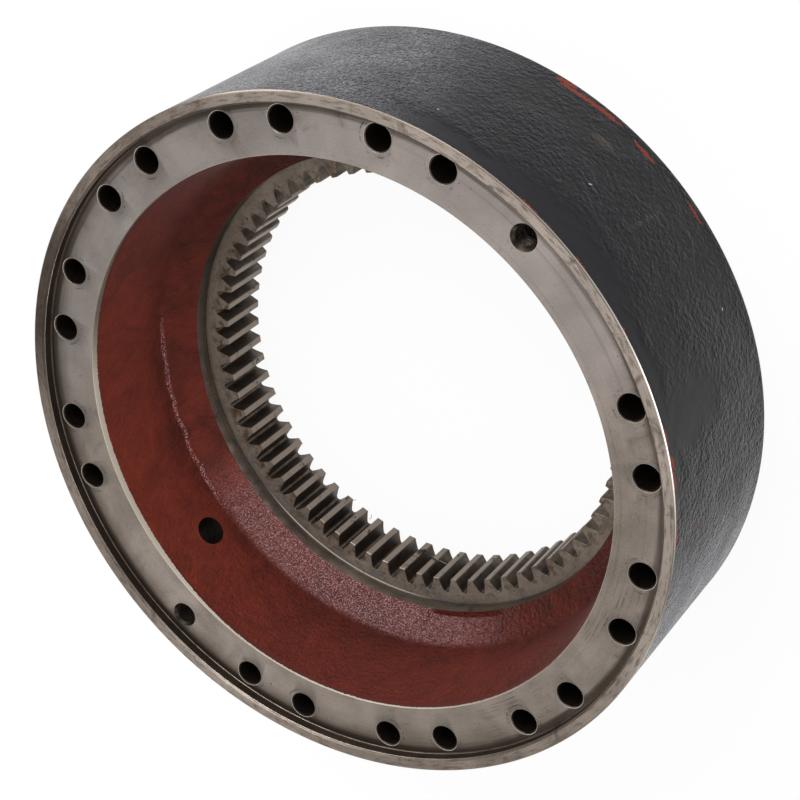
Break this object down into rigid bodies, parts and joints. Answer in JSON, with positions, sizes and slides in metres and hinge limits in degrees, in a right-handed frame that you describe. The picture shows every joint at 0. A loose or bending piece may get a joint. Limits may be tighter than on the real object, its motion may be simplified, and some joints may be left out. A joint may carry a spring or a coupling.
{
  "type": "internal ring gear",
  "caption": "Cast ring gear housing: straight internal teeth at the back, a tapered cast bore, and a recessed bolting flange with paired through holes at the front.",
  "frame": {"origin": "centre of the back face, where the axis meets the plane that the gear lies on", "axes": "+Z along the gear's axis, from the toothed back to the recessed flange; +X points midway between the two holes of one pair, a quarter turn from another pair and 30 degrees before a bare sector"},
  "size_m": [0.4709, 0.471, 0.144],
  "materials": {
    "machined_iron": "turned and cut ductile iron, warm grey with a satin sheen",
    "black_enamel": "black semi-gloss enamel on the cast skin",
    "red_primer": "oxide-red primer on the cast bore"
  },
  "bodies": {
    "root": {"ring_gear": "machined_iron"}
  },
  "joints": []
}
